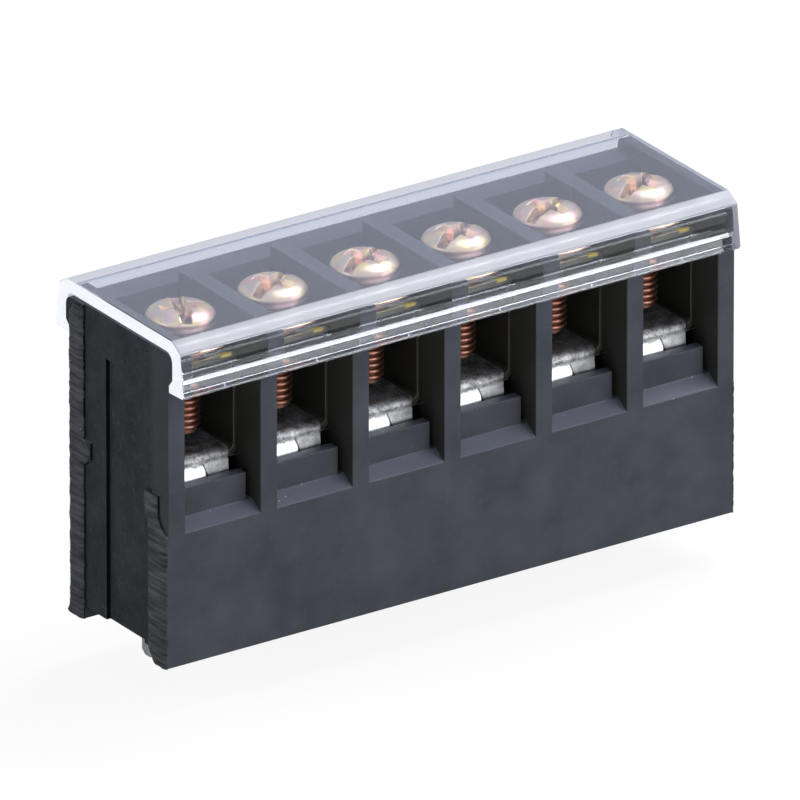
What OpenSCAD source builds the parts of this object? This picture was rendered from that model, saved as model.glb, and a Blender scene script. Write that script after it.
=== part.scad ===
// Screw terminal block for a circuit board, six poles in one row.
// A black housing holds six box clamps; a clear profile cover clips over the barriers.
// X runs along the row, the wires enter from -Y, Z = 0 is the board.

/* [Row] */
// Distance between neighbouring poles
pitch = 8.25; // [7.8:0.05:10]
// Thickness of the barriers between the poles and at both ends
wall_t = 1.5; // [1.2:0.05:1.8]
// Length by which the torn walls stand out at the left end
stub_t = 0.2; // [0.05:0.05:0.6]

/* [Housing] */
// Depth from the front edge of the barriers to the back face
body_d = 13; // [12.6:0.1:16]
// Thickness of the back wall
back_t = 1.9; // [1.4:0.1:2.2]
// Thickness of the front apron
apron_t = 2.45; // [2:0.05:2.6]
// Height of the apron's front edge
apron_h = 10.7; // [6:0.1:11.2]
// Depth of the sloping sill behind that edge
sill_d = 1.15; // [0.6:0.05:1.4]
// Rise of the sill from front to back
sill_rise = 0.8; // [0.4:0.1:1.5]
// Depth of the block on the sill, in front of the contact
block_d = 0.95; // [0.7:0.05:1.2]
// Drop from the contact's underside to the top of that block
block_drop = 0.95; // [0.5:0.05:1.2]
// Gap between that block and the barriers
block_gap = 0.53; // [0.3:0.01:0.8]
// Depth of the ledge on the back wall that carries the contact
ledge_d = 0.9; // [0.6:0.1:1]
// Height of that ledge
ledge_h = 1.9; // [1.2:0.1:3]
// Height of the barriers' lower edges above the board
foot_gap = 0.9; // [0.4:0.1:2]
// Bevel inside the apron's lower edge
foot_bevel = 0.7; // [0.3:0.1:1]
// Depth of the guide recess in the side of each barrier
guide_t = 0.35; // [0.25:0.05:0.45]
// Play of a box clamp in its guide recess
guide_gap = 0.05; // [0.03:0.01:0.1]
// Bead along the head of each barrier that holds the cover
bead = 0.45; // [0.3:0.05:0.6]
// Height of the beaded head
head_zone = 1.95; // [1.7:0.05:2.2]
// Corner radius of the beaded head
shoulder_r = 0.7; // [0.4:0.1:1.4]

/* [Contact] */
// Height of the contact plate's underside above the board
contact_z = 14.7; // [13.8:0.1:18]
// Thickness of the contact sheet
contact_t = 0.7; // [0.5:0.05:0.9]
// Distance of the contact's nose from the front edge of the barriers
nose_in = 2.5; // [2.4:0.05:3.2]
// Length of the turned-down lip under the nose
lip_h = 1.3; // [1:0.1:1.6]
// How much shorter the lip's right half is
lip_short = 0.3; // [0:0.1:0.6]
// Depth by which the lip's left half leans out at its lower edge, three times that of its right half
lip_d = 0.3; // [0.15:0.05:0.4]
// Least gap between the lip and the block in front of it
lip_gap = 0.1; // [0.05:0.05:0.2]
// Width of the contact plate
contact_w = 4.7; // [4.4:0.1:5.5]
// Width of the tongue that is bent down to the board
tongue_w = 3; // [2:0.1:3.4]
// Relief cut beside the tongue's bend
relief = 0.2; // [0.1:0.05:0.4]
// Distance of that tongue from the back wall's ledge
tongue_gap = 0.1; // [0.05:0.05:0.4]
// Width of the solder pin
pin_w = 1.2; // [0.8:0.1:1.6]
// Length of the solder pin below the board face
pin_l = 3.75; // [2.5:0.05:6]

/* [Box clamp] */
// Thickness of the clamp's sides and floor
clamp_t = 0.5; // [0.4:0.05:0.6]
// Thickness of the clamp's tapped top, two layers of strip
clamp_top_t = 1; // [0.8:0.05:1.4]
// Clear height for the wire over the contact
wire_h = 5.75; // [5.5:0.05:6.4]
// Depth of the clamp along the wire
clamp_d = 4.95; // [4.4:0.05:5.4]
// Distance from the clamp's front edge to the screw axis
clamp_front = 2.25; // [1.9:0.05:2.3]
// Outer radius of the clamp's bends
clamp_r = 1; // [0.8:0.1:1.1]

/* [Screw] */
// Distance of the screw axis from the front edge of the barriers
screw_in = 5.6; // [5.5:0.05:6.2]
// Outer diameter of the thread
screw_d = 2.94; // [2.5:0.02:3]
// Play between thread and tapped hole
thread_gap = 0.04; // [0.02:0.01:0.08]
// Length of the screw below its head
screw_len = 8; // [7.8:0.1:10]
// Gap between the screw's tip and the contact when backed out
tip_gap = 1; // [0.6:0.1:1.6]
// Diameter of the pan head
head_d = 5.4; // [4.8:0.1:5.8]
// Height of the head's straight side
head_side = 0.45; // [0.3:0.05:0.9]
// Radius of the head's rounded upper edge
head_edge = 0.8; // [0.5:0.05:1]
// Width of the driver slots
slot_w = 0.8; // [0.5:0.05:1]
// Depth of the driver slots
slot_h = 0.75; // [0.5:0.05:0.9]
// Length of the short cross slot
cross_l = 3.4; // [2.4:0.1:4]

/* [Cover] */
// Thickness of the cover's top
cover_t = 1.1; // [0.8:0.05:1.6]
// Thickness of the cover's legs at the top
leg_t = 1.15; // [0.8:0.05:1.6]
// Lean of each leg, outwards at its lower end
leg_lean = 0.45; // [0.2:0.05:0.7]
// Depth of the bevel along the top edges
bevel_d = 1.15; // [0.5:0.05:1.5]
// Height of that bevel
bevel_h = 0.7; // [0.3:0.05:0.9]
// Height of the hook below the bead
hook_h = 0.65; // [0.5:0.05:1]
// Play of the cover on the barriers' sides
cover_gap = 0.08; // [0.05:0.01:0.15]
// Gap between the cover and the tops of barriers and heads
cover_lift = 0.15; // [0.1:0.05:0.4]
// Length by which the cover falls short at its far end
cover_short = 0.9; // [0:0.1:3]

/* [Hidden] */
$fn = 48;
poles = 6;
screw_turn = [68, 27, 25, 28, 24, 29];   // how far each slot is turned

e = 0.5;                                             // how far a cut runs past the face it opens
row_l = poles * pitch + wall_t;
bay_w = pitch - wall_t;                              // clear width between two barriers
y_front = -body_d / 2;
y_back = body_d / 2;
y_inner = y_back - back_t;                           // front face of the back wall
y_screw = y_front + screw_in;
y_clamp = y_screw - clamp_front;
y_nose = y_front + nose_in;
y_tongue = y_inner - ledge_d - tongue_gap - contact_t;

contact_top = contact_z + contact_t;
block_top = contact_z - block_drop;
sill_z = apron_h + sill_rise;                        // where the sill meets the block
clamp_top = contact_top + wire_h + clamp_top_t;
guide_top = clamp_top + guide_gap;
clamp_w = bay_w + 2 * (guide_t - guide_gap);         // over both sides of a clamp
clamp_in = clamp_w - 2 * clamp_t;
bend_in = clamp_r - clamp_t;                         // inside radius of the clamp's bends

head_z = contact_top + tip_gap + screw_len;          // underside of a backed-out head
head_top = head_z + head_side + head_edge;
body_h = head_top;                                   // the barriers end level with the heads
neck = body_h - head_zone;                           // underside of the bead

cover_in = body_h + cover_lift;                      // underside of the cover's top
cover_top = cover_in + cover_t;
hook_z = neck - bead - cover_gap - hook_h;           // lower edge of the cover
leg_y = bead + cover_gap + leg_t;                    // outside of a leg, from the barrier's front edge

function pole_x(i) = (i - (poles - 1) / 2) * pitch;

// Turns a (Y, Z) outline into a bar that starts at x0 and runs along X.
module along_x(x0, len) {
    translate([x0, 0, 0]) rotate([90, 0, 90]) linear_extrude(len) children();
}

// Turns an (X, Z) outline into a bar that starts at y0 and runs along Y.
module along_y(y0, len) {
    translate([0, y0 + len, 0]) rotate([90, 0, 0]) linear_extrude(len) children();
}

// Rectangle from low corner to high corner with all corners rounded.
module round_rect(lo, hi, r) {
    translate([lo[0], lo[1] + r]) square([hi[0] - lo[0], hi[1] - lo[1] - 2 * r]);
    translate([lo[0] + r, lo[1]]) square([hi[0] - lo[0] - 2 * r, hi[1] - lo[1]]);
    for (x = [lo[0] + r, hi[0] - r], y = [lo[1] + r, hi[1] - r]) translate([x, y]) circle(r);
}

// Outline of a barrier seen from the end, grown by g at the sides and top_g at the top.
module barrier(g = 0, top_g = 0) {
    r = shoulder_r + g;
    low = neck - bead - g;
    translate([y_front - g, 0]) square([body_d + 2 * g, neck]);
    difference() {
        round_rect([y_front - bead - g, neck - 2 * r], [y_back + bead + g, body_h + top_g], r);
        translate([y_front - bead - 2 * g - e, low - 3 * r]) square([body_d + 4 * (bead + g + e), neck - low + 3 * r]);
    }
    polygon([[y_front - g, low], [y_front - g - bead, neck], [y_front - g, neck]]);
    polygon([[y_back + g, low], [y_back + g + bead, neck], [y_back + g, neck]]);
}

// Hollow of one bay seen from the end: the wire window in front, the shaft open to the board.
module bay() {
    y_block = y_front + sill_d + block_d;
    ledge_z = contact_z - ledge_h;
    polygon([
        [y_front - bead - e, apron_h], [y_front, apron_h], [y_front + sill_d, sill_z],
        [y_front + sill_d, block_top], [y_block, block_top], [y_block, sill_z],
        [y_front + apron_t, sill_z], [y_front + apron_t, -e], [y_inner, -e],
        [y_inner, ledge_z], [y_inner - ledge_d, ledge_z + ledge_d / 2],
        [y_inner - ledge_d, contact_z], [y_inner, contact_z],
        [y_inner, body_h + e], [y_front - bead - e, body_h + e]
    ]);
}

// Black moulded housing, sawn off a longer strip at both ends.
module body() {
    color("#26272b") difference() {
        union() {
            along_x(-row_l / 2, row_l) barrier();
            along_x(-row_l / 2 - stub_t, row_l + stub_t) difference() { barrier(); bay(); }
        }
        for (i = [0 : poles - 1]) {
            along_x(pole_x(i) - bay_w / 2, bay_w) bay();
            for (s = [-1, 1])
                translate([pole_x(i) + s * (bay_w - block_gap) / 2, y_front + sill_d + block_d / 2 + e / 2,
                           block_top])
                    cube([block_gap, block_d + e, 2 * (block_top - sill_z)], center = true);
        }
        for (k = [0 : poles], s = [0, 1])
            translate([pole_x(k) - pitch / 2 - wall_t / 2 + s * (wall_t - guide_t), y_clamp - guide_gap, -e])
                cube([guide_t, clamp_d + 2 * guide_gap, guide_top + e]);
        translate([-row_l / 2 - stub_t - e, y_front + apron_t, -e])
            cube([row_l + 2 * (stub_t + e), y_inner - y_front - apron_t, foot_gap + e]);
        along_x(-row_l / 2 - stub_t - e, row_l + 2 * (stub_t + e)) polygon([
            [y_front + apron_t - foot_bevel, -e], [y_front + apron_t - foot_bevel, 0],
            [y_front + apron_t, foot_gap], [y_front + apron_t + foot_bevel, foot_gap], [y_front + apron_t + foot_bevel, -e]
        ]);
    }
}

// Clear extruded cover: flat top, two legs, and hooks that catch under the bead.
module cover() {
    out_f = y_front - leg_y;
    out_b = y_back + leg_y;
    color([0.86, 0.9, 0.95, 0.35]) along_x(-row_l / 2, row_l - cover_short) difference() {
        polygon([
            [out_f + bevel_d, cover_top], [out_f, cover_top - bevel_h],
            [out_f - leg_lean, hook_z + hook_h / 2], [out_f - leg_lean + hook_h / 4, hook_z + hook_h / 8],
            [y_front, hook_z], [y_back, hook_z],
            [out_b + leg_lean - hook_h / 4, hook_z + hook_h / 8], [out_b + leg_lean, hook_z + hook_h / 2],
            [out_b, cover_top - bevel_h], [out_b - bevel_d, cover_top]
        ]);
        barrier(cover_gap, cover_lift);
    }
}

// Tinned contact: a plate with a rounded nose and a split lip, and a tongue that ends in the solder pin.
module terminal(i) {
    r = contact_t / 2;
    y_end = y_inner - tongue_gap;
    lip_w = contact_w - r;
    lip_out = min(lip_d, nose_in - sill_d - block_d - lip_gap);
    color("#c9cbcc") translate([pole_x(i), 0, 0]) {
        difference() {
            intersection() {
                along_x(-contact_w / 2, contact_w) union() {
                    translate([y_nose + contact_t, contact_z]) circle(contact_t);
                    translate([y_nose + contact_t, contact_z]) square([y_end - y_nose - contact_t, contact_t]);
                }
                translate([0, 0, contact_z]) linear_extrude(contact_t)
                    round_rect([-contact_w / 2, y_nose], [contact_w / 2, y_end], r);
            }
            translate([-tongue_w / 2 - relief, y_tongue + contact_t, contact_z - e])
                cube([tongue_w + 2 * relief, y_end, contact_t + 2 * e]);
            along_x(-tongue_w / 2 - relief, tongue_w + 2 * relief) difference() {
                translate([y_tongue, contact_z]) square([contact_t, contact_t]);
                translate([y_tongue, contact_z]) circle(contact_t);
            }
        }
        // the lip is slit down the middle: its left half leans out further than its right half
        along_x(-lip_w / 2, lip_w / 2) polygon([
            [y_nose, contact_z], [y_nose + contact_t, contact_z],
            [y_nose + contact_t - lip_out, contact_z - lip_h], [y_nose - lip_out, contact_z - lip_h]
        ]);
        along_x(0, lip_w / 2) polygon([
            [y_nose, contact_z], [y_nose + contact_t, contact_z],
            [y_nose + contact_t - lip_out / 3, contact_z - lip_h + lip_short],
            [y_nose - lip_out / 3, contact_z - lip_h + lip_short]
        ]);
        along_y(y_tongue, contact_t) polygon([
            [-tongue_w / 2, contact_z + e / 4], [tongue_w / 2, contact_z + e / 4],
            [tongue_w / 2, foot_gap + tongue_w / 2], [pin_w / 2, foot_gap], [pin_w / 2, -pin_l + pin_w / 2],
            [pin_w / 4, -pin_l], [-pin_w / 4, -pin_l], [-pin_w / 2, -pin_l + pin_w / 2],
            [-pin_w / 2, foot_gap], [-tongue_w / 2, foot_gap + tongue_w / 2]
        ]);
    }
}

// Box clamp bent from steel strip, with the tapped hole in its top.
module clamp(i) {
    color("#b89a55") translate([pole_x(i), 0, 0]) difference() {
        along_y(y_clamp, clamp_d) difference() {
            round_rect([-clamp_w / 2, contact_z - clamp_t], [clamp_w / 2, clamp_top], clamp_r);
            round_rect([-clamp_in / 2, contact_z], [clamp_in / 2, clamp_top - clamp_top_t], bend_in);
        }
        translate([0, y_screw, contact_top]) cylinder(h = wire_h + clamp_top_t + e, r = screw_d / 2 + thread_gap);
    }
}

// Pan head screw with a full slot and a shorter cross slot.
module screw(i) {
    chamfer = screw_d / 10;
    color("#cf9f62") translate([pole_x(i), y_screw, head_z]) difference() {
        union() {
            rotate_extrude() {
                square([head_d / 2, head_side]);
                square([head_d / 2 - head_edge, head_side + head_edge]);
                intersection() {
                    translate([head_d / 2 - head_edge, head_side]) circle(head_edge);
                    translate([head_d / 2 - head_edge, 0]) square([head_edge, head_side + head_edge]);
                }
            }
            rotate_extrude() polygon([[0, e], [screw_d / 2, e], [screw_d / 2, -screw_len + chamfer],
                                      [screw_d / 2 - chamfer, -screw_len], [0, -screw_len]]);
        }
        rotate([0, 0, screw_turn[i]]) translate([0, 0, head_side + head_edge]) {
            cube([head_d + 2 * e, slot_w, 2 * slot_h], center = true);
            cube([slot_w, cross_l, 2 * slot_h], center = true);
        }
    }
}

body();
cover();
for (i = [0 : poles - 1]) {
    terminal(i);
    clamp(i);
    screw(i);
}
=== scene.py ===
import bmesh
import bpy
import math
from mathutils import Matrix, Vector, noise


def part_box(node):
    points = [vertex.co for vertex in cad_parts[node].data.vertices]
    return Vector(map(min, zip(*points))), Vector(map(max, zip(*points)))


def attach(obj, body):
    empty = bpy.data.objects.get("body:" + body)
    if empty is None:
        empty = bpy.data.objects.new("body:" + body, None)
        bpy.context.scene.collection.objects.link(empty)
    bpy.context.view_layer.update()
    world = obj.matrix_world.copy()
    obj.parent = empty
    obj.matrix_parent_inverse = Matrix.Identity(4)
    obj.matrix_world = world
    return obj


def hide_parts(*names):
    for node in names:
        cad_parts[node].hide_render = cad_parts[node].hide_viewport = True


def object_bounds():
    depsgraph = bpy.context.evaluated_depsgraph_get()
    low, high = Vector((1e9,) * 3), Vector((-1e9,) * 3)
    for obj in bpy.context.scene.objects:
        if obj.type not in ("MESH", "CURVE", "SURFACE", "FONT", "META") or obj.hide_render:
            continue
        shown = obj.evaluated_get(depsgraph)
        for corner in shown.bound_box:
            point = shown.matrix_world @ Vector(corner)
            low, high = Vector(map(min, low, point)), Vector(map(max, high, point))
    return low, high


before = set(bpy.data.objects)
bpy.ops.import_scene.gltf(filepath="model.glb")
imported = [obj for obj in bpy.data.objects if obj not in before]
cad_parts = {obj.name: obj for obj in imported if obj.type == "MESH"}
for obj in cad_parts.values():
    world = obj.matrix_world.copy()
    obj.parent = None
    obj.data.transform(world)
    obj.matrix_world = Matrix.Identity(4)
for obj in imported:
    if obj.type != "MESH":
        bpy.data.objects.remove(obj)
cad_lo, cad_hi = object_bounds()

# ---- Housing ----------------------------------------------------------------------------------
# One black moulding of glass-filled polyester: seven barriers, a back wall and a front apron.
# The mould leaves small radii on every edge, a faint satin grain and slightly cloudy flow marks.

edge_r = 0.07e-3                          # radius of the moulded edges
edge_angle = math.radians(48)             # where the faces turn more, the shading keeps an edge
weld = 1e-6                               # corners of a CAD mesh that lie this close are one
flat_angle = math.radians(0.5)            # faces that turn less than this are one
wall_drop = 0.95e-3                       # the back wall lies this much lower than the barriers
wall_half = 24.05e-3                      # half the length of that stretch
wall_front, wall_back = 4.5e-3, 9.0e-3    # the cut that lowers it, front to back
cut_over = 1e-3                           # how far the cut reaches above the wall
end_depth = 0.8e-3                        # side faces this near to an end are sawn
shade_depth, shade_half = 0.6e-3, 5.5e-3    # reach of the painted shade in a groove's corner, inwards and front to back
dust_and_light_full, dust_and_light_end = 13.0e-3, 14.2e-3    # the film of dust and the painted top light lie below these heights
front_tone_full, front_tone_end = -4.6e-3, -4.0e-3      # the sawn end is lighter in front of these places

black_low, black_high = (0.04, 0.042, 0.053, 1), (0.057, 0.06, 0.075, 1)
black_scratch = (0.07, 0.072, 0.08, 1)
side_shade_black = (0.036, 0.037, 0.032, 1)     # painted shade on the side walls
dust_and_top_light = (0.155, 0.164, 0.21, 1)       # painted top light on the open sills, with a thin film of dust
dust_grey = (0.42, 0.43, 0.46, 1)
sawn_low, sawn_high = (0.015, 0.017, 0.019, 1), (0.026, 0.029, 0.032, 1)
sawn_scratch = (0.06, 0.063, 0.07, 1)
sawn_front_tone = (0.038, 0.041, 0.046, 1)
sawn_dust = (0.1, 0.1, 0.105, 1)
groove_shade_low, groove_shade_high = (0.004, 0.0045, 0.004, 1), (0.008, 0.0085, 0.008, 1)


def placed(name, data):
    """A new object for a mesh, a lamp or a camera, linked to the scene."""
    piece = bpy.data.objects.new(name, data)
    bpy.context.scene.collection.objects.link(piece)
    return piece


def mesh_of(bm, name):
    """A new mesh with what a bmesh holds."""
    mesh = bpy.data.meshes.new(name)
    bm.to_mesh(mesh)
    bm.free()
    return mesh


def as_plain(piece):
    """Turns an object with modifiers into an object with the plain mesh that they give."""
    graph = bpy.context.evaluated_depsgraph_get()
    done = bpy.data.meshes.new_from_object(piece.evaluated_get(graph))
    piece.modifiers.clear()
    old, piece.data = piece.data, done
    done.name = piece.name
    bpy.data.meshes.remove(old)
    return piece


def smoothed(piece):
    """Smooth shading between the edges, with face-weighted normals taken into the mesh."""
    piece.data.shade_smooth()
    piece.data.set_sharp_from_angle(angle=edge_angle)
    piece.modifiers.new("weighted", "WEIGHTED_NORMAL").keep_sharp = True
    return as_plain(piece)


def rounded(bm, width, angle, segments=2, outer_only=False):
    """Rounds the edges at which the faces turn by more than an angle in degrees."""
    sharp = [e for e in bm.edges if len(e.link_faces) == 2
             and e.calc_face_angle(0) > math.radians(angle) and (e.is_convex or not outer_only)]
    bmesh.ops.bevel(bm, geom=sharp, offset=width, offset_type="OFFSET", segments=segments, profile=0.5,
                    affect="EDGES", clamp_overlap=False, miter_outer="SHARP")


def softened(node, name, width, angle=32, segments=2, outer_only=False):
    """A copy of a CAD node's mesh with its loose triangles merged and its sharp edges rounded."""
    bm = bmesh.new()
    bm.from_mesh(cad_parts[node].data)
    bmesh.ops.remove_doubles(bm, verts=bm.verts[:], dist=weld)
    bmesh.ops.dissolve_limit(bm, angle_limit=flat_angle, verts=bm.verts[:], edges=bm.edges[:])
    rounded(bm, width, angle, segments, outer_only)
    return smoothed(placed(name, mesh_of(bm, name)))


def block(name, low, high, taper=1.0):
    """A box between two corners, to cut with; taper narrows its underside."""
    bm = bmesh.new()
    bmesh.ops.create_cube(bm, size=1.0)
    for v in bm.verts:
        narrow = taper if v.co.z < 0 else 1.0
        x, y, z = (h if c > 0 else l for c, l, h in zip(v.co, low, high))
        v.co = (x * narrow, y * narrow, z)
    return placed(name, mesh_of(bm, name))


def cut_away(piece, *cutters):
    """Takes the cutters' shapes off a piece and removes the cutters."""
    for cutter in cutters:
        cut = piece.modifiers.new(cutter.name, "BOOLEAN")
        cut.operation, cut.solver, cut.object = "DIFFERENCE", "EXACT", cutter
    bpy.context.view_layer.update()
    as_plain(piece)
    for cutter in cutters:
        bpy.data.objects.remove(cutter)


def dressed(piece, *skins):
    """Gives a piece its materials, the first one all over."""
    piece.data.materials.clear()
    for skin in skins:
        piece.data.materials.append(skin)


def put(tree, kind, inputs=(), **settings):
    """Adds a node; inputs maps a socket's name or number to a value or to another node's output."""
    n = tree.nodes.new(kind)
    for k, v in settings.items():
        setattr(n, k, v)
    for k, v in dict(inputs).items():
        if isinstance(v, bpy.types.NodeSocket):
            tree.links.new(v, n.inputs[k])
        else:
            n.inputs[k].default_value = v
    return n


def maths(tree, operation, *values, **settings):
    """The result of one step of arithmetic."""
    return put(tree, "ShaderNodeMath", dict(enumerate(values)), operation=operation, **settings).outputs[0]


def product(tree, *factors):
    """Masks multiplied with each other."""
    whole = factors[0]
    for f in factors[1:]:
        whole = maths(tree, "MULTIPLY", whole, f)
    return whole


def mixed(tree, factor, a, b):
    """Colour a where the factor is 0, colour b where it is 1."""
    return put(tree, "ShaderNodeMix", {0: factor, 6: a, 7: b}, data_type="RGBA").outputs[2]


def ranged(tree, value, low, high, to_low=0.0, to_high=1.0):
    """The value's way from low to high, counted from to_low to to_high and held beyond."""
    return put(tree, "ShaderNodeMapRange", {"Value": value, "From Min": low, "From Max": high,
                                            "To Min": to_low, "To Max": to_high}).outputs["Result"]


def near(tree, value, middle, inner, outer):
    """1 within inner of the middle, 0 beyond outer."""
    off = maths(tree, "ABSOLUTE", maths(tree, "SUBTRACT", value, middle))
    return ranged(tree, off, inner, outer, 1.0, 0.0)


def coords(tree):
    return put(tree, "ShaderNodeTexCoord").outputs


def axis_of(tree, vector, axis):
    return put(tree, "ShaderNodeSeparateXYZ", {0: vector}).outputs[axis]


def drawn_out(tree, vector, scales, detail):
    """Noise that is stretched, with a scale of its own along each axis."""
    drawn = put(tree, "ShaderNodeVectorMath", {0: vector, 1: scales}, operation="MULTIPLY").outputs["Vector"]
    return put(tree, "ShaderNodeTexNoise", {"Vector": drawn, "Scale": 1.0, "Detail": detail}).outputs[0]


def material(name, values):
    """A new material, its node tree and its shader, whose constant values are set here."""
    m = bpy.data.materials.new(name)
    m.use_nodes = True
    shader = m.node_tree.nodes["Principled BSDF"]
    for k, v in values.items():
        shader.inputs[k].default_value = v
    return m, m.node_tree, shader


def feed(tree, shader, inputs):
    """Links colours and values to a shader's sockets."""
    for socket, value in inputs.items():
        tree.links.new(value, shader.inputs[socket])


def bumped(tree, shader, strength, distance, height):
    """Relief that is too fine for the mesh."""
    bump = put(tree, "ShaderNodeBump", {"Strength": strength, "Distance": distance, "Height": height})
    feed(tree, shader, {"Normal": bump.outputs[0]})


def marks_group():
    """Masks that several finishes share, in object coordinates counted in millimetres."""
    g = bpy.data.node_groups.new("surface_marks", "ShaderNodeTree")
    for n, v in (("Grain per mm", 7.0), ("Cloud per mm", 0.25), ("Dust", 0.1), ("Scratch", 0.3)):
        g.interface.new_socket(n, in_out="INPUT", socket_type="NodeSocketFloat").default_value = v
    for n in ("Grain", "Cloud", "Dust", "Scratch"):
        g.interface.new_socket(n, in_out="OUTPUT", socket_type="NodeSocketFloat")
    ins = put(g, "NodeGroupInput").outputs
    place = coords(g)["Object"]
    mm = put(g, "ShaderNodeVectorMath", {0: place, "Scale": 1000.0}, operation="SCALE").outputs["Vector"]
    grain = put(g, "ShaderNodeTexNoise", {"Vector": mm, "Scale": ins["Grain per mm"], "Detail": 3.0})
    cloud = put(g, "ShaderNodeTexNoise", {"Vector": mm, "Scale": ins["Cloud per mm"], "Detail": 6.0,
                                          "Roughness": 0.62})
    # dust: a few cells of a fine cell pattern hold a small speck
    cells = put(g, "ShaderNodeTexVoronoi", {"Vector": mm, "Scale": 1.7, "Randomness": 1.0})
    picked = put(g, "ShaderNodeSeparateColor", {"Color": cells.outputs["Color"]}).outputs["Red"]
    kept = maths(g, "LESS_THAN", picked, ins["Dust"])
    dust = product(g, kept, ranged(g, cells.outputs["Distance"], 0.06, 0.13, 1.0, 0.0))
    # scratches: thin bands of a noise that is stretched along one slanting way
    turned = put(g, "ShaderNodeVectorRotate", {"Vector": mm, "Axis": (0.4, 0.7, 0.6), "Angle": 0.9})
    lines = drawn_out(g, turned.outputs[0], (0.12, 2.6, 1.3), 2.0)
    scratch = product(g, near(g, lines, 0.5, 0.0, 0.012), ins["Scratch"])
    put(g, "NodeGroupOutput", {"Grain": grain.outputs[0], "Cloud": cloud.outputs[0], "Dust": dust,
                               "Scratch": scratch})
    return g


marks = marks_group()


def marked(tree, grain=7.0, cloud=0.25, dust=0.0, scratch=0.0):
    """The shared masks in one material: grain and cloud per mm, and how much dust and scratches."""
    n = tree.nodes.new("ShaderNodeGroup")
    n.node_tree = marks
    for socket, value in zip(n.inputs, (grain, cloud, dust, scratch)):
        socket.default_value = value
    return n.outputs


def cloudy(tree, seen, low, high):
    """Two tones that go over into each other in soft clouds."""
    return mixed(tree, ranged(tree, seen["Cloud"], 0.35, 0.68), low, high)


def uneven(tree, seen, low, high):
    """A roughness that drifts between two values."""
    return ranged(tree, seen["Cloud"], 0.3, 0.7, low, high)


black, tree, shader = material("black_moulding", {"Specular IOR Level": 0.26})
seen = marked(tree, grain=9.0, cloud=0.22, dust=0.3, scratch=0.3)
place = coords(tree)
tone = mixed(tree, seen["Scratch"], cloudy(tree, seen, black_low, black_high), black_scratch)
# painted shade on the side walls; painted top light and a film of dust on faces that look up, and dust
# specks
sideways = maths(tree, "ABSOLUTE", axis_of(tree, place["Normal"], "X"))
tone = mixed(tree, ranged(tree, sideways, 0.6, 0.95), tone, side_shade_black)
upward = axis_of(tree, place["Normal"], "Z")
# painted top light, with a film of dust, on low faces that look up
low_down = ranged(tree, axis_of(tree, place["Object"], "Z"), dust_and_light_full, dust_and_light_end, 1.0, 0.0)
tone = mixed(tree, product(tree, ranged(tree, upward, 0.25, 0.75, 0.0, 0.6), low_down), tone, dust_and_top_light)
settled = product(tree, seen["Dust"], ranged(tree, upward, 0.0, 0.7, 0.08, 1.0))
feed(tree, shader, {"Base Color": mixed(tree, settled, tone, dust_grey),
                    "Roughness": uneven(tree, seen, 0.36, 0.5)})
bumped(tree, shader, 0.35, 1.2e-5, seen["Grain"])

sawn, tree, shader = material("sawn_black", {"Specular IOR Level": 0.08})
seen = marked(tree, cloud=0.5, dust=0.03, scratch=0.6)
tone = mixed(tree, seen["Scratch"], cloudy(tree, seen, sawn_low, sawn_high), sawn_scratch)
# the sawn end is lighter towards the front
front_lighter = ranged(tree, axis_of(tree, coords(tree)["Object"], "Y"), front_tone_full, front_tone_end, 0.6, 0.0)
tone = mixed(tree, front_lighter, tone, sawn_front_tone)
feed(tree, shader, {"Base Color": mixed(tree, seen["Dust"], tone, sawn_dust),
                    "Roughness": uneven(tree, seen, 0.5, 0.7)})

# painted shade: a near-black for the corner of the guide, where shade falls
corner, tree, shader = material("groove_corner", {"Specular IOR Level": 0.05})
seen = marked(tree, cloud=0.5, dust=0.03)
tone = cloudy(tree, seen, groove_shade_low, groove_shade_high)
feed(tree, shader, {"Base Color": mixed(tree, seen["Dust"], tone, sawn_dust),
                    "Roughness": uneven(tree, seen, 0.5, 0.7)})

body = softened("body", "moulding", edge_r)
body_lo, body_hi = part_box("body")
# between the end barriers the back wall stops short of the cover, so light comes in behind the screws
cut_away(body, block("wall_cut", (-wall_half, wall_front, body_hi.z - wall_drop),
                     (wall_half, wall_back, body_hi.z + cut_over)))
stale = body.data.attributes.get("custom_normal")    # normals of the uncut moulding
if stale:
    body.data.attributes.remove(stale)
smoothed(body)
dressed(body, black, sawn, corner)
for face in body.data.polygons:
    from_end = min(face.center.x - body_lo.x, body_hi.x - face.center.x)
    if abs(face.normal.x) > 0.9 and from_end < end_depth:
        face.material_index = 1
    elif abs(face.normal.y) > 0.8 and abs(face.center.y) < shade_half and from_end < shade_depth:
        face.material_index = 2              # painted shade in the corner of the guide that the saw laid open
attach(body, "housing")
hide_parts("body")

# ---- Sawn ends of the housing -------------------------------------------------------------------
# The block is cut off a longer strip, and the saw tears the back wall, the apron and the block.
# The torn plastic stands out in fine level ridges with ragged edges, paler than the sawn skin.

# all in mm: the back wall, its ledge under the contacts, its flared foot and its rounded crown
back_in, back_out, back_top = 4.6, 6.5, 25.4
ledge_in, ledge_z, ledge_half = 3.75, 13.7, 1.0
back_foot, back_flare = 0.7, 0.35
crown_z, crown_high, crown_in = 24.2, 1.3, 0.9
# the apron with its tapered foot, the sill that slopes up from it, and the block behind the sill
apron_out, apron_in, apron_top = -6.5, -4.05, 10.7
apron_foot, apron_taper = 0.9, 0.7
sill_high, sill_deep, sill_curve = 1.4, 1.17, 1.6
block_out, block_in, block_low, block_top = -5.33, -3.6, 11.6, 13.75

tear_step, tear_columns = 0.11, 9    # height of one ridge, and points across a section
tear_least, tear_ridge, tear_slab = 0.02, 0.15, 0.07    # how far the tear stands out, and why
tear_root = 0.12                     # how deep the skin sits in the moulding
tear_right = 0.15                    # share of the tear at the cleaner right end
ragged, frayed = 0.1, 0.05           # long and short waves of a section's edges
wander = 0.05                        # how far a ridge strays from level

torn_low, torn_high = (0.014, 0.015, 0.017, 1), (0.055, 0.057, 0.062, 1)

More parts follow.
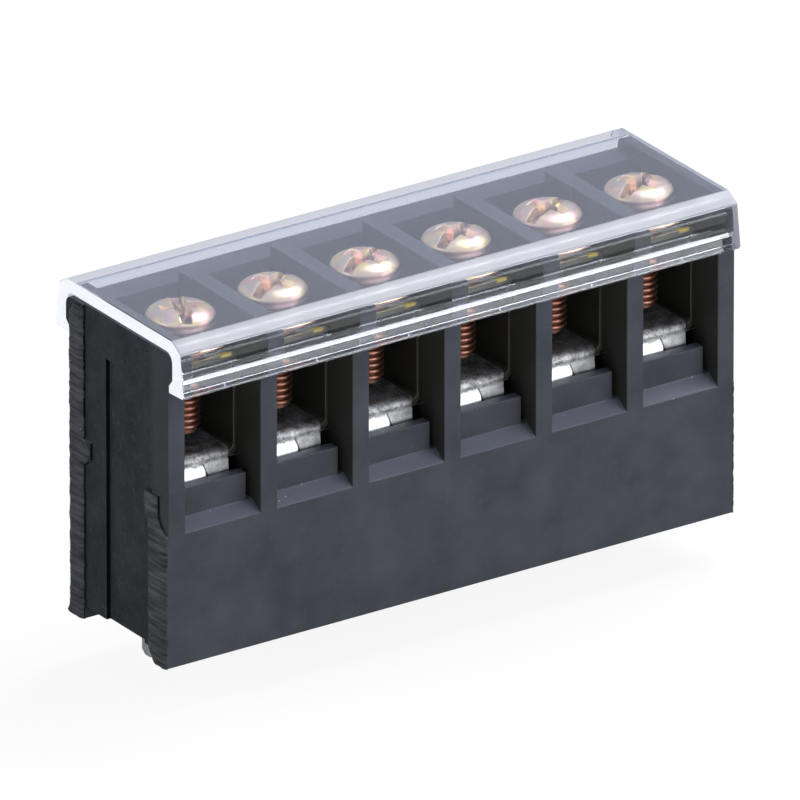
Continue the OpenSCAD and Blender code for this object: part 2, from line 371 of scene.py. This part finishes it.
torn, tree, shader = material("torn_plastic", {"Specular IOR Level": 0.25})
seen = marked(tree, grain=11.0, dust=0.05)
ridges = drawn_out(tree, coords(tree)["Object"], (300.0, 350.0, 3400.0), 4.0)
tone = mixed(tree, ranged(tree, ridges, 0.35, 0.7), torn_low, torn_high)
feed(tree, shader, {"Base Color": mixed(tree, seen["Dust"], tone, dust_grey),
                    "Roughness": ranged(tree, seen["Grain"], 0.3, 0.7, 0.45, 0.75)})
bumped(tree, shader, 0.8, 6e-5, ridges)


def back_section(z):
    """Inner and outer edge of the torn back wall at height z."""
    swell = max(0.0, 1 - abs(z - ledge_z) / ledge_half) ** 0.5
    foot = max(0.0, 1 - z / back_foot)
    round_off = 0.0 if z < crown_z else crown_in * ((z - crown_z) / crown_high) ** 2
    return back_in - swell * (back_in - ledge_in), back_out + back_flare * foot - round_off


def apron_section(z):
    """Outer and inner edge of the torn apron, and above it of the sill and the block."""
    if z <= apron_top:
        return apron_out, apron_in - apron_taper * max(0.0, 1 - z / apron_foot)
    slope = max(0.0, 1 - (z - apron_top) / sill_high)
    return block_out - sill_deep * slope ** sill_curve, block_in if z > block_low else apron_in


def torn_strip(name, side, section, top, seed):
    """A thin torn skin over one cut section: side is -1 for the left end, 1 for the right end."""
    rough = 1.0 if side < 0 else tear_right
    x_cut = abs(body_lo.x if side < 0 else body_hi.x) * 1000
    x_root = side * (x_cut - tear_root) * 1e-3
    rows = int(top / tear_step)
    bm = bmesh.new()
    grid = []
    for j in range(rows + 1):
        z = top * j / rows
        lo, hi = section(z)
        lo += ragged * noise.noise((seed, z * 1.7, 3.0)) + frayed * noise.noise((seed, z * 6.0, 5.0))
        hi += ragged * noise.noise((seed, z * 1.9, 9.0)) + frayed * noise.noise((seed, z * 6.5, 1.0))
        line = []
        for i in range(tear_columns + 1):
            t = i / tear_columns
            y = lo + (hi - lo) * t
            ridge = 0.5 + 0.5 * noise.noise((seed + 7, z * 2.4, y * 0.5))
            slab = 0.5 + 0.5 * noise.noise((seed, z * 0.8, y * 1.1))
            rim = min(1.0, 6 * t, 6 * (1 - t))
            x = x_cut + rim * rough * (tear_least + tear_ridge * ridge + tear_slab * slab)
            level = z + wander * noise.noise((seed + 3, y * 2.0, z))
            line.append(bm.verts.new((side * x * 1e-3, y * 1e-3, level * 1e-3)))
        grid.append(line + [bm.verts.new((x_root, v.co.y, v.co.z)) for v in (line[-1], line[0])])
    ring = len(grid[0])
    for a, b in zip(grid, grid[1:]):
        for i in range(ring):
            k = (i + 1) % ring
            bm.faces.new((a[i], a[k], b[k], b[i]))
    bm.faces.new(grid[0])
    bm.faces.new(grid[-1])
    bmesh.ops.recalc_face_normals(bm, faces=bm.faces[:])
    return mesh_of(bm, name)


for side, word in ((-1, "left"), (1, "right")):
    for part, section, top in (("wall", back_section, back_top), ("apron", apron_section, block_top)):
        name = f"torn_{part}_{word}"
        strip = placed(name, torn_strip(name, side, section, top, seed=2.3 + 5 * side + top))
        dressed(strip, torn)
        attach(strip, "housing")

# ---- Contacts -----------------------------------------------------------------------------------
# Stamped and bent from brass sheet and tin plated: a plate with a rolled nose, a slit lip, and a
# tongue that runs down the back wall to the solder pin. The tin is bright with a cloudy, soft grain.

poles = range(1, 7)                        # numbered from the left
contact_r = 0.05e-3                        # radius of the stamped edges
lip_low, lip_reach = 13.4e-3, 1.1e-3       # lower edge of the lip, and how far it lies behind the nose
lip_from, lip_to = 0.15e-3, 0.45e-3        # the stretch of its right half that is drawn down
lip_drop = 0.28e-3                         # and by how much
plate_z, plate_full, plate_patch = 14.85e-3, 15.05e-3, 0.8e-3    # the darker plate above the lip, its border in patches
slit_z, slit_across, slit_lean = 14.0e-3, 0.1, 350.0    # the slit's painted shadow: a point on it, and its lean in mm per m
slit_full, slit_end = 14.55e-3, 14.75e-3   # where the slit runs out

plate_low, plate_high = (0.18, 0.172, 0.16, 1), (0.54, 0.53, 0.52, 1)
lip_lit_low, lip_lit_high = (0.8, 0.8, 0.8, 1), (1.0, 1.0, 1.0, 1)
lip_shade_low, lip_shade_high = (0.5, 0.495, 0.49, 1), (0.92, 0.91, 0.905, 1)
slit_shadow, speck_dark = (0.06, 0.055, 0.05, 1), (0.07, 0.066, 0.06, 1)
tin_scratch, tin_dust = (0.45, 0.44, 0.42, 1), (0.3, 0.29, 0.27, 1)


def attribute(tree, name):
    return put(tree, "ShaderNodeAttribute", attribute_name=name).outputs["Fac"]


def count_across(piece, middle):
    """Keeps with each point how far it lies to the right of the middle, in mm."""
    side = piece.data.attributes.new("across", "FLOAT", "POINT")
    side.data.foreach_set("value", [(v.co.x - middle) * 1000 for v in piece.data.vertices])


tin, tree, shader = material("tin_plate", {"Metallic": 1.0})
seen = marked(tree, grain=5.0, cloud=1.1, dust=0.5, scratch=0.7)
clouds = ranged(tree, seen["Cloud"], 0.36, 0.66)
height = axis_of(tree, coords(tree)["Object"], "Z")
across = attribute(tree, "across")
# painted highlight on the left half of the lip and painted shade on its right half; the plate above is
# darker, in patches
lip = mixed(tree, ranged(tree, across, 0.0, 0.12), mixed(tree, clouds, lip_lit_low, lip_lit_high),
            mixed(tree, clouds, lip_shade_low, lip_shade_high))
above = ranged(tree, maths(tree, "MULTIPLY_ADD", seen["Cloud"], plate_patch, height), plate_z, plate_full)
tone = mixed(tree, above, lip, mixed(tree, clouds, plate_low, plate_high))
# painted shadow along the slit through the lip: a dark line that leans a little
leaning = maths(tree, "MULTIPLY_ADD", height, slit_lean, across)
slit_shade = product(tree, near(tree, leaning, slit_lean * slit_z + slit_across, 0.05, 0.11),
               ranged(tree, height, slit_full, slit_end, 0.9, 0.0))
tone = mixed(tree, slit_shade, tone, slit_shadow)
tone = mixed(tree, seen["Scratch"], tone, tin_scratch)
speck = product(tree, ranged(tree, seen["Grain"], 0.53, 0.64), ranged(tree, above, 0.0, 1.0, 0.1, 0.65))
tone = mixed(tree, speck, tone, speck_dark)
feed(tree, shader, {"Base Color": mixed(tree, seen["Dust"], tone, tin_dust),
                    "Roughness": ranged(tree, above, 0.0, 1.0, 0.36, 0.56)})
bumped(tree, shader, 0.5, 3e-5, seen["Cloud"])

for k in poles:
    contact = softened(f"terminal_{k}", f"contact_{k}", contact_r)
    dressed(contact, tin)
    lo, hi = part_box(f"terminal_{k}")
    middle = (lo.x + hi.x) / 2
    for v in contact.data.vertices:      # the right half of the lip reaches as far down as the left half
        on_lip = v.co.x > middle and v.co.y < lo.y + lip_reach
        if on_lip and lip_low + lip_from < v.co.z < lip_low + lip_to:
            v.co.z -= lip_drop
    count_across(contact, middle)
    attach(contact, "housing")
    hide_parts(f"terminal_{k}")

# ---- Box clamps ---------------------------------------------------------------------------------
# Each clamp is bent to a box from a strip of mild steel and its top is tapped for the screw.
# Zinc plating with a yellow passivation gives it a pale skin; the gold on the bends is partly its film and
# partly painted sheen.

clamp_r = 0.06e-3                          # radius of the strip's edges
clamp_flat, clamp_bend = (0.76, 0.735, 0.65, 1), (0.8, 0.62, 0.25, 1)
clamp_wall = (0.3, 0.288, 0.23, 1)
clamp_shade, clamp_shade_z = (0.19, 0.185, 0.14, 1), 20.9e-3    # the shaded walls below a height
shade_blur = 0.3e-3                         # half the height over which the painted shade sets in
glint_across, glint_y = 2.45, -2.6e-3        # the painted gold glint: mm right of the middle, and its place in depth
glint_low, glint_full = 21.6e-3, 21.8e-3     # it lies above these heights
glint_gold = (1.0, 0.74, 0.12, 1)
film_gold, film_rose = (0.86, 0.68, 0.24, 1), (0.84, 0.4, 0.42, 1)


def passivated(name, flat, bend, wall, rough, shade_tone, shade_below, further, gold=0.0, rose=0.0):
    """A coloured film, partly painted sheen: one tone on flats that look up, one on bends and one on walls.

    Gold and rose are the strengths of its patches; below a height it is darker with painted shade, and
    further adds to it.
    """
    m, tree, shader = material(name, {"Metallic": 1.0})
    seen = marked(tree, grain=14.0, cloud=0.6, scratch=0.2)
    place = coords(tree)
    patch = ranged(tree, seen["Cloud"], 0.3, 0.7, -0.2, 0.2)
    # painted sheen: the film's tone follows which way a face looks
    film = maths(tree, "ADD", axis_of(tree, place["Normal"], "Z"), patch)
    ramp = put(tree, "ShaderNodeValToRGB", {"Fac": film})
    stops = ramp.color_ramp.elements
    stops[0].position, stops[0].color = 0.1, wall
    stops[1].position, stops[1].color = 0.96, flat
    for at in (0.42, 0.72):
        stops.new(at).color = bend
    patches = marked(tree, grain=0.75, cloud=0.9)
    tone = mixed(tree, ranged(tree, patches["Grain"], 0.5, 0.6, 0.0, gold), ramp.outputs[0], film_gold)
    tone = mixed(tree, ranged(tree, patches["Cloud"], 0.52, 0.62, 0.0, rose), tone, film_rose)
    tone = mixed(tree, seen["Scratch"], tone, tuple(0.55 * c for c in bend[:3]) + (1,))
    height = axis_of(tree, place["Object"], "Z")
    # painted shade below a height
    shaded = ranged(tree, height, shade_below - shade_blur, shade_below + shade_blur, 1.0, 0.0)
    tone = further(tree, shader, mixed(tree, shaded, tone, shade_tone), place["Object"])
    feed(tree, shader, {"Base Color": tone, "Roughness": uneven(tree, seen, rough, rough + 0.12)})
    bumped(tree, shader, 0.12, 1e-5, seen["Grain"])
    return m


def gold_glint(tree, shader, tone, place):
    """A painted gold glint on the right front corner of the clamp's top, where its bend catches the light.
    """
    glint = product(tree, near(tree, attribute(tree, "across"), glint_across, 0.35, 0.55),
                   near(tree, axis_of(tree, place, "Y"), glint_y, 0.55e-3, 0.85e-3),
                   ranged(tree, axis_of(tree, place, "Z"), glint_low, glint_full))
    feed(tree, shader, {"Metallic": ranged(tree, glint, 0.0, 1.0, 1.0, 0.1)})
    return mixed(tree, glint, tone, glint_gold)


clamp_skin = passivated("passivated_clamp", clamp_flat, clamp_bend, clamp_wall, 0.5,
                        clamp_shade, clamp_shade_z, gold_glint)

for k in poles:
    clamp = softened(f"clamp_{k}", f"box_clamp_{k}", clamp_r)
    dressed(clamp, clamp_skin)
    lo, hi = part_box(f"clamp_{k}")
    count_across(clamp, (lo.x + hi.x) / 2)
    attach(clamp, "housing")
    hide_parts(f"clamp_{k}")

# ---- Clamping screws ----------------------------------------------------------------------------
# Cold-headed M3 steel screws with a rolled thread and a pan head with a slot and a cross recess.
# They have the same yellow passivation, thicker and rosier than on the clamps, and are backed out.

thread_r, core_r, thread_pitch = 1.46e-3, 1.17e-3, 0.5e-3
thread_steps = 56                        # points in one turn
head_r, head_side, head_round, head_rise = 2.7e-3, 0.33e-3, 1.75e-3, 0.92e-3
head_steps, dome_steps = 72, 12          # points around a head, and up its rounding
head_edge_r, head_smooth = 0.05e-3, math.radians(40)
head_high = head_side + head_rise
slot_l, slot_w, slot_deep, slot_taper = 6.5e-3, 1.0e-3, 0.72e-3, 0.7
cross_l, cross_w, cross_deep, cross_taper = 3.5e-3, 1.25e-3, 1.15e-3, 0.6
recess_over = 0.3e-3                     # how far the cutters reach above a head
recess_least = 0.06e-3                   # a point this far below the dome is in the recess
screw_turn = (68, 27, 25, 28, 24, 29)    # how far each slot is turned, in degrees
head_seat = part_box("screw_1")[1].z - head_side - head_rise    # underside of the heads
head_edge = head_seat + head_side                             # where the side of a head ends

screw_flat, screw_bend = (0.62, 0.48, 0.38, 1), (0.82, 0.62, 0.4, 1)
screw_wall = (0.78, 0.33, 0.33, 1)
screw_shade, screw_shade_z = (0.4, 0.19, 0.13, 1), 24.0e-3      # painted shade and painted reflected colour on the thread, below the heads
recess_shade_rose, recess_lit_gold, recess_shade_dark = (0.46, 0.22, 0.21, 1), (0.92, 0.64, 0.25, 1), (0.2, 0.16, 0.16, 1)
side_reflection_pink, ring_reflection_dark = (1.0, 0.66, 0.64, 1), (0.4, 0.19, 0.17, 1)


def head_tones(tree, shader, tone, place):
    """Painted shade in the recess with gold spots of painted light; a painted dark reflection rings the head
    above its side, which has a painted pink reflection.
    """
    height = axis_of(tree, place, "Z")
    spots = marked(tree, grain=1.1, cloud=1.3)
    # painted shade in the recess, with gold spots of painted light
    deep = mixed(tree, ranged(tree, spots["Grain"], 0.46, 0.56), recess_shade_rose, recess_lit_gold)
    deep = mixed(tree, ranged(tree, spots["Cloud"], 0.52, 0.6), deep, recess_shade_dark)
    # painted pink reflection on the side of the head
    side = product(tree, ranged(tree, height, head_edge - 0.05e-3, head_edge + 0.05e-3, 0.85, 0.0),
                   ranged(tree, height, head_seat - 0.02e-3, head_seat + 0.02e-3))
    tone = mixed(tree, side, tone, side_reflection_pink)
    # painted dark reflection in a ring above the side
    tone = mixed(tree, near(tree, height, head_edge + 0.16e-3, 0.06e-3, 0.16e-3), tone, ring_reflection_dark)
    return mixed(tree, ranged(tree, attribute(tree, "recess"), 0.3, 0.8), tone, deep)


screw_skin = passivated("passivated_screw", screw_flat, screw_bend, screw_wall, 0.36,
                        screw_shade, screw_shade_z, head_tones, gold=0.65, rose=0.7)


def recess_cutter(name, long, wide, deep, taper):
    """A box to cut one slot of the recess with, narrower at its floor."""
    low, high = (-long / 2, -wide / 2, head_high - deep), (long / 2, wide / 2, head_high + recess_over)
    return block(name, low, high, taper)


def head_template():
    """A screw head turned about Z, underside at the origin, with its recess cut out."""
    line = [(core_r, 0.0), (head_r - 0.14e-3, 0.0), (head_r - 0.03e-3, 0.05e-3), (head_r, 0.14e-3)]
    for i in range(dome_steps + 1):
        t = math.pi / 2 * i / dome_steps
        line.append((head_r - head_round + head_round * math.cos(t), head_side + head_rise * math.sin(t)))
    bm = bmesh.new()
    turns = [2 * math.pi * i / head_steps for i in range(head_steps)]
    rings = [[bm.verts.new((r * math.cos(a), r * math.sin(a), z)) for a in turns] for r, z in line]
    beside = [(i, (i + 1) % head_steps) for i in range(head_steps)]
    for a, b in zip(rings, rings[1:]):
        for i, k in beside:
            bm.faces.new((a[i], a[k], b[k], b[i]))
    top = bm.verts.new((0, 0, head_high))
    for i, k in beside:
        bm.faces.new((rings[-1][i], rings[-1][k], top))
    bm.faces.new(list(reversed(rings[0])))
    head = placed("head", mesh_of(bm, "head"))
    cut_away(head, recess_cutter("slot", slot_l, slot_w, slot_deep, slot_taper),
             recess_cutter("cross_a", cross_l, cross_w, cross_deep, cross_taper),
             recess_cutter("cross_b", cross_w, cross_l, cross_deep, cross_taper))
    bm = bmesh.new()
    bm.from_mesh(head.data)
    bmesh.ops.remove_doubles(bm, verts=bm.verts[:], dist=2 * weld)
    rounded(bm, head_edge_r, 35)
    bm.to_mesh(head.data)
    bm.free()
    head.data.shade_smooth()
    head.data.set_sharp_from_angle(angle=head_smooth)
    recess = []                                  # 1 on the recess, 0 on the rest
    for v in head.data.vertices:
        out = min(max(math.hypot(v.co.x, v.co.y) - head_r + head_round, 0.0) / head_round, 1.0)
        dome = head_side + head_rise * math.sqrt(1 - out * out)
        on_side = out > 0.96 and v.co.z < head_side + 0.05e-3
        outside = on_side or v.co.z < recess_least or dome - v.co.z < recess_least
        recess.append(0.0 if outside else 1.0)
    head.data.attributes.new("recess", "FLOAT", "POINT").data.foreach_set("value", recess)
    return head


def screw_tree():
    """Geometry nodes: a helical thread on a core, the head on top, all put in place and turned."""
    g = bpy.data.node_groups.new("threaded_screw", "GeometryNodeTree")
    sockets = {}
    for name, kind in (("Thread Radius", "Float"), ("Core Radius", "Float"), ("Pitch", "Float"),
                       ("Length", "Float"), ("Turn", "Float"), ("Foot", "Vector"), ("Head", "Object"),
                       ("Skin", "Material")):
        socket = g.interface.new_socket(name, in_out="INPUT", socket_type="NodeSocket" + kind)
        sockets[name] = socket.identifier
    g.interface.new_socket("Geometry", in_out="OUTPUT", socket_type="NodeSocketGeometry")
    ins = put(g, "NodeGroupInput").outputs

    def moved(geometry, z):
        up = put(g, "ShaderNodeCombineXYZ", {"Z": z}).outputs[0]
        return put(g, "GeometryNodeTransform", {"Geometry": geometry, "Translation": up})

    run = maths(g, "SUBTRACT", ins["Length"], ins["Pitch"])
    turns = maths(g, "DIVIDE", run, ins["Pitch"])
    helix = put(g, "GeometryNodeCurveSpiral",
                {"Resolution": thread_steps, "Rotations": turns, "Start Radius": ins["Core Radius"],
                 "End Radius": ins["Core Radius"], "Height": run})
    upright = put(g, "GeometryNodeSetCurveNormal", {"Curve": helix.outputs[0]}, mode="Z_UP")
    wide = product(g, maths(g, "SUBTRACT", ins["Thread Radius"], ins["Core Radius"]), 2.0)
    tall = product(g, ins["Pitch"], 0.46)
    ridge = put(g, "GeometryNodeCurvePrimitiveQuadrilateral",
                {"Width": wide, "Bottom Height": tall, "Top Height": tall}, mode="KITE")
    thread = put(g, "GeometryNodeCurveToMesh",
                 {"Curve": upright.outputs[0], "Profile Curve": ridge.outputs[0], "Fill Caps": True})
    core = put(g, "GeometryNodeMeshCylinder", {"Vertices": thread_steps, "Radius": ins["Core Radius"],
                                               "Depth": ins["Length"]})
    head = put(g, "GeometryNodeObjectInfo", {"Object": ins["Head"]})
    raised = moved(thread.outputs[0], product(g, ins["Pitch"], 0.6))
    shank = moved(core.outputs[0], product(g, ins["Length"], 0.5))
    capped = moved(head.outputs["Geometry"], ins["Length"])
    whole = put(g, "GeometryNodeJoinGeometry")
    for part in (raised, shank, capped):
        g.links.new(part.outputs[0], whole.inputs[0])
    turn = put(g, "ShaderNodeCombineXYZ", {"Z": ins["Turn"]})
    stood = put(g, "GeometryNodeTransform", {"Geometry": whole.outputs[0], "Translation": ins["Foot"],
                                             "Rotation": turn.outputs[0]})
    real = put(g, "GeometryNodeRealizeInstances", {0: stood.outputs[0]})
    skinned = put(g, "GeometryNodeSetMaterial", {"Geometry": real.outputs[0], "Material": ins["Skin"]})
    put(g, "NodeGroupOutput", {0: skinned.outputs[0]})
    return g, sockets


head = head_template()
screw_nodes, sockets = screw_tree()
for k in poles:
    lo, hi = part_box(f"screw_{k}")
    screw = placed(f"clamping_screw_{k}", bpy.data.meshes.new("empty"))
    build = screw.modifiers.new("build", "NODES")
    build.node_group = screw_nodes
    sizes = {"Thread Radius": thread_r, "Core Radius": core_r, "Pitch": thread_pitch,
             "Length": hi.z - lo.z - head_side - head_rise, "Turn": math.radians(screw_turn[k - 1]),
             "Foot": Vector(((lo.x + hi.x) / 2, (lo.y + hi.y) / 2, lo.z)), "Head": head, "Skin": screw_skin}
    for name, value in sizes.items():
        build[sockets[name]] = value
    bpy.context.view_layer.update()
    as_plain(screw)
    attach(screw, f"screw_{k}")
    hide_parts(f"screw_{k}")
bpy.data.objects.remove(head)

# ---- Cover --------------------------------------------------------------------------------------
# A clear extruded profile, cut to length, that clips over the beads of the barriers. Its faces carry
# faint lines from the die and fine scratches, its back is satin, its bevels are satin with a painted
# reflection in their pale, half diffuse base, and its sawn ends are frosted white.

cover_r, cover_angle = 0.09e-3, 14         # rounding of the die's edges, and the least turn that gets it
cover_end, cover_back, cover_bevel = 0.1e-3, 0.7e-3, 0.8e-3    # how deep the ends, back and bevels reach
clear_tint = (0.93, 0.955, 0.99, 1)
back_tint = (0.4, 0.405, 0.47, 1)
bevel_glow_tint = (0.47, 0.472, 0.54, 1)
frost_low, frost_high = (0.86, 0.875, 0.91, 1), (0.98, 0.985, 1.0, 1)

clear, tree, shader = material("clear_extrusion", {"Base Color": clear_tint, "Transmission Weight": 1.0,
                                                   "IOR": 1.53})
seen = marked(tree, dust=0.03, scratch=1.0)
die = drawn_out(tree, coords(tree)["Object"], (25.0, 900.0, 900.0), 3.0)
rubbed = maths(tree, "MAXIMUM", seen["Scratch"], seen["Dust"])
feed(tree, shader, {"Roughness": ranged(tree, rubbed, 0.0, 1.0, 0.015, 0.22)})
bumped(tree, shader, 0.06, 1.5e-5, die)

# the back hardly bends the light, so that it lets the pale surround through and mirrors nothing black
back_clear, tree, shader = material("back_clear", {"Base Color": back_tint, "Transmission Weight": 1.0,
                                                   "IOR": 1.02})
seen = marked(tree, cloud=0.8)
feed(tree, shader, {"Roughness": uneven(tree, seen, 0.2, 0.3)})

# painted reflection: the bevels are half diffuse, and their pale base stands in for the light the bevel
# sends back as a prism
bevel_glow_skin, tree, shader = material("satin_bevel", {"Base Color": bevel_glow_tint, "Transmission Weight": 0.5,
                                               "IOR": 1.5})
seen = marked(tree, cloud=0.8)
feed(tree, shader, {"Roughness": uneven(tree, seen, 0.32, 0.42)})

frosted, tree, shader = material("sawn_clear", {"IOR": 1.5, "Transmission Weight": 0.1})
seen = marked(tree, grain=9.0)
saw = drawn_out(tree, coords(tree)["Object"], (800.0, 1500.0, 6500.0), 3.0)
feed(tree, shader, {"Base Color": mixed(tree, saw, frost_low, frost_high),
                    "Roughness": ranged(tree, seen["Grain"], 0.3, 0.7, 0.55, 0.85)})
bumped(tree, shader, 0.5, 3e-5, saw)

cover = softened("cover", "clear_cover", cover_r, cover_angle, segments=3, outer_only=True)
dressed(cover, clear, frosted, back_clear, bevel_glow_skin)
cover_lo, cover_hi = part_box("cover")
for face in cover.data.polygons:
    way, at = face.normal, face.center
    if abs(way.x) > 0.9 and min(at.x - cover_lo.x, cover_hi.x - at.x) < cover_end:
        face.material_index = 1
    elif way.y > 0.9 and cover_hi.y - at.y < cover_back:
        face.material_index = 2
    elif abs(way.y) > 0.1 and way.z > 0.2 and at.z > cover_hi.z - cover_bevel:
        face.material_index = 3
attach(cover, "cover")
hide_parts("cover")

# ---- Studio -------------------------------------------------------------------------------------
# A pale floor and a white surround. The key light hangs overhead, a little to the right; softer ones
# stand at the right front, at the left, and low in front. The camera stands a few metres off, to the
# left and above, with a long lens.

floor_z, floor_half = cad_lo.z, 4
floor_grey = (0.9, 0.9, 0.9, 1)
plain_white = (1, 1, 1, 1)
floor_dim, floor_share = (0.12, 0.125, 0.14, 1), 0.85    # the floor near the block, as a mirror sees it
dim_full, dim_end = 0.15, 0.26                           # how far from the block that reaches
sky_blue = (0.78, 0.83, 1, 1)                            # the surround, as a mirror sees it

white, tree, shader = material("floor_white", {"Base Color": floor_grey, "Roughness": 0.9,
                                               "Specular IOR Level": 0.1})
ray = put(tree, "ShaderNodeLightPath").outputs
plain = put(tree, "ShaderNodeEmission", {"Color": plain_white, "Strength": 1.0})
direct = maths(tree, "MAXIMUM", ray["Is Camera Ray"], ray["Is Transmission Ray"])
both = put(tree, "ShaderNodeMixShader", {0: product(tree, direct, 0.9), 1: shader.outputs[0],
                                         2: plain.outputs[0]})
dim = put(tree, "ShaderNodeEmission", {"Color": floor_dim, "Strength": 1.0})
away = put(tree, "ShaderNodeVectorMath", {0: coords(tree)["Object"]}, operation="LENGTH").outputs["Value"]
mirror = maths(tree, "SUBTRACT", ray["Is Glossy Ray"], ray["Is Transmission Ray"])
close = ranged(tree, away, dim_full, dim_end, floor_share, 0.0)
dark = maths(tree, "MULTIPLY", mirror, close, use_clamp=True)
shown = put(tree, "ShaderNodeMixShader", {0: dark, 1: both.outputs[0], 2: dim.outputs[0]})
feed(tree, tree.nodes["Material Output"], {"Surface": shown.outputs[0]})

mesh = bpy.data.meshes.new("floor")
corners = ((-1, -1), (1, -1), (1, 1), (-1, 1))
mesh.from_pydata([(x * floor_half, y * floor_half, floor_z) for x, y in corners], [], [(0, 1, 2, 3)])
floor = placed("floor", mesh)
dressed(floor, white)

world = bpy.data.worlds.new("surround")
bpy.context.scene.world = world
world.use_nodes = True
tree = world.node_tree
ray = put(tree, "ShaderNodeLightPath").outputs
direct = maths(tree, "MAXIMUM", ray["Is Camera Ray"], ray["Is Glossy Ray"])
direct = maths(tree, "MAXIMUM", direct, ray["Is Transmission Ray"])
feed(tree, tree.nodes["Background"], {"Color": mixed(tree, ray["Is Glossy Ray"], plain_white, sky_blue),
                                      "Strength": ranged(tree, direct, 0.0, 1.0, 0.3, 1.0)})

aim = Vector((-0.225e-3, 0.2e-3, 13.18e-3))
lamp_tint = (0.94, 0.97, 1.0)
for name, way, far, size, power in (("key", (0.51, 0.077, 0.855), 0.7, 0.36, 4.1),
                                    ("front", (0.78, -0.66, 0.45), 0.8, 0.45, 2.9),
                                    ("fill", (-0.9, 0.18, 0.38), 0.9, 0.5, 4.0),
                                    ("low", (0.4, -0.9, 0.1), 0.8, 0.4, 1.9)):
    lamp = bpy.data.lights.new(name, "AREA")
    lamp.shape, lamp.size, lamp.energy, lamp.color = "SQUARE", size, power, lamp_tint
    light = placed(name, lamp)
    way = Vector(way).normalized()
    light.location = aim + way * far
    light.rotation_euler = way.to_track_quat("Z", "Y").to_euler()

azimuth, elevation, distance = math.radians(-34), math.radians(24), 2.5
sensor, picture_wide = 36, 59.84e-3      # the sensor in mm, and the width that it sees at the aim in m
lens = bpy.data.cameras.new("camera")
lens.sensor_width = sensor
lens.lens = sensor * distance / picture_wide
lens.clip_start, lens.clip_end = 0.05, 20
camera = placed("camera", lens)
toward = Vector((math.sin(azimuth) * math.cos(elevation), -math.cos(azimuth) * math.cos(elevation),
                 math.sin(elevation)))
camera.location = aim + toward * distance
camera.rotation_euler = toward.to_track_quat("Z", "Y").to_euler()
bpy.context.scene.camera = camera
bpy.context.scene.view_settings.view_transform = "Standard"
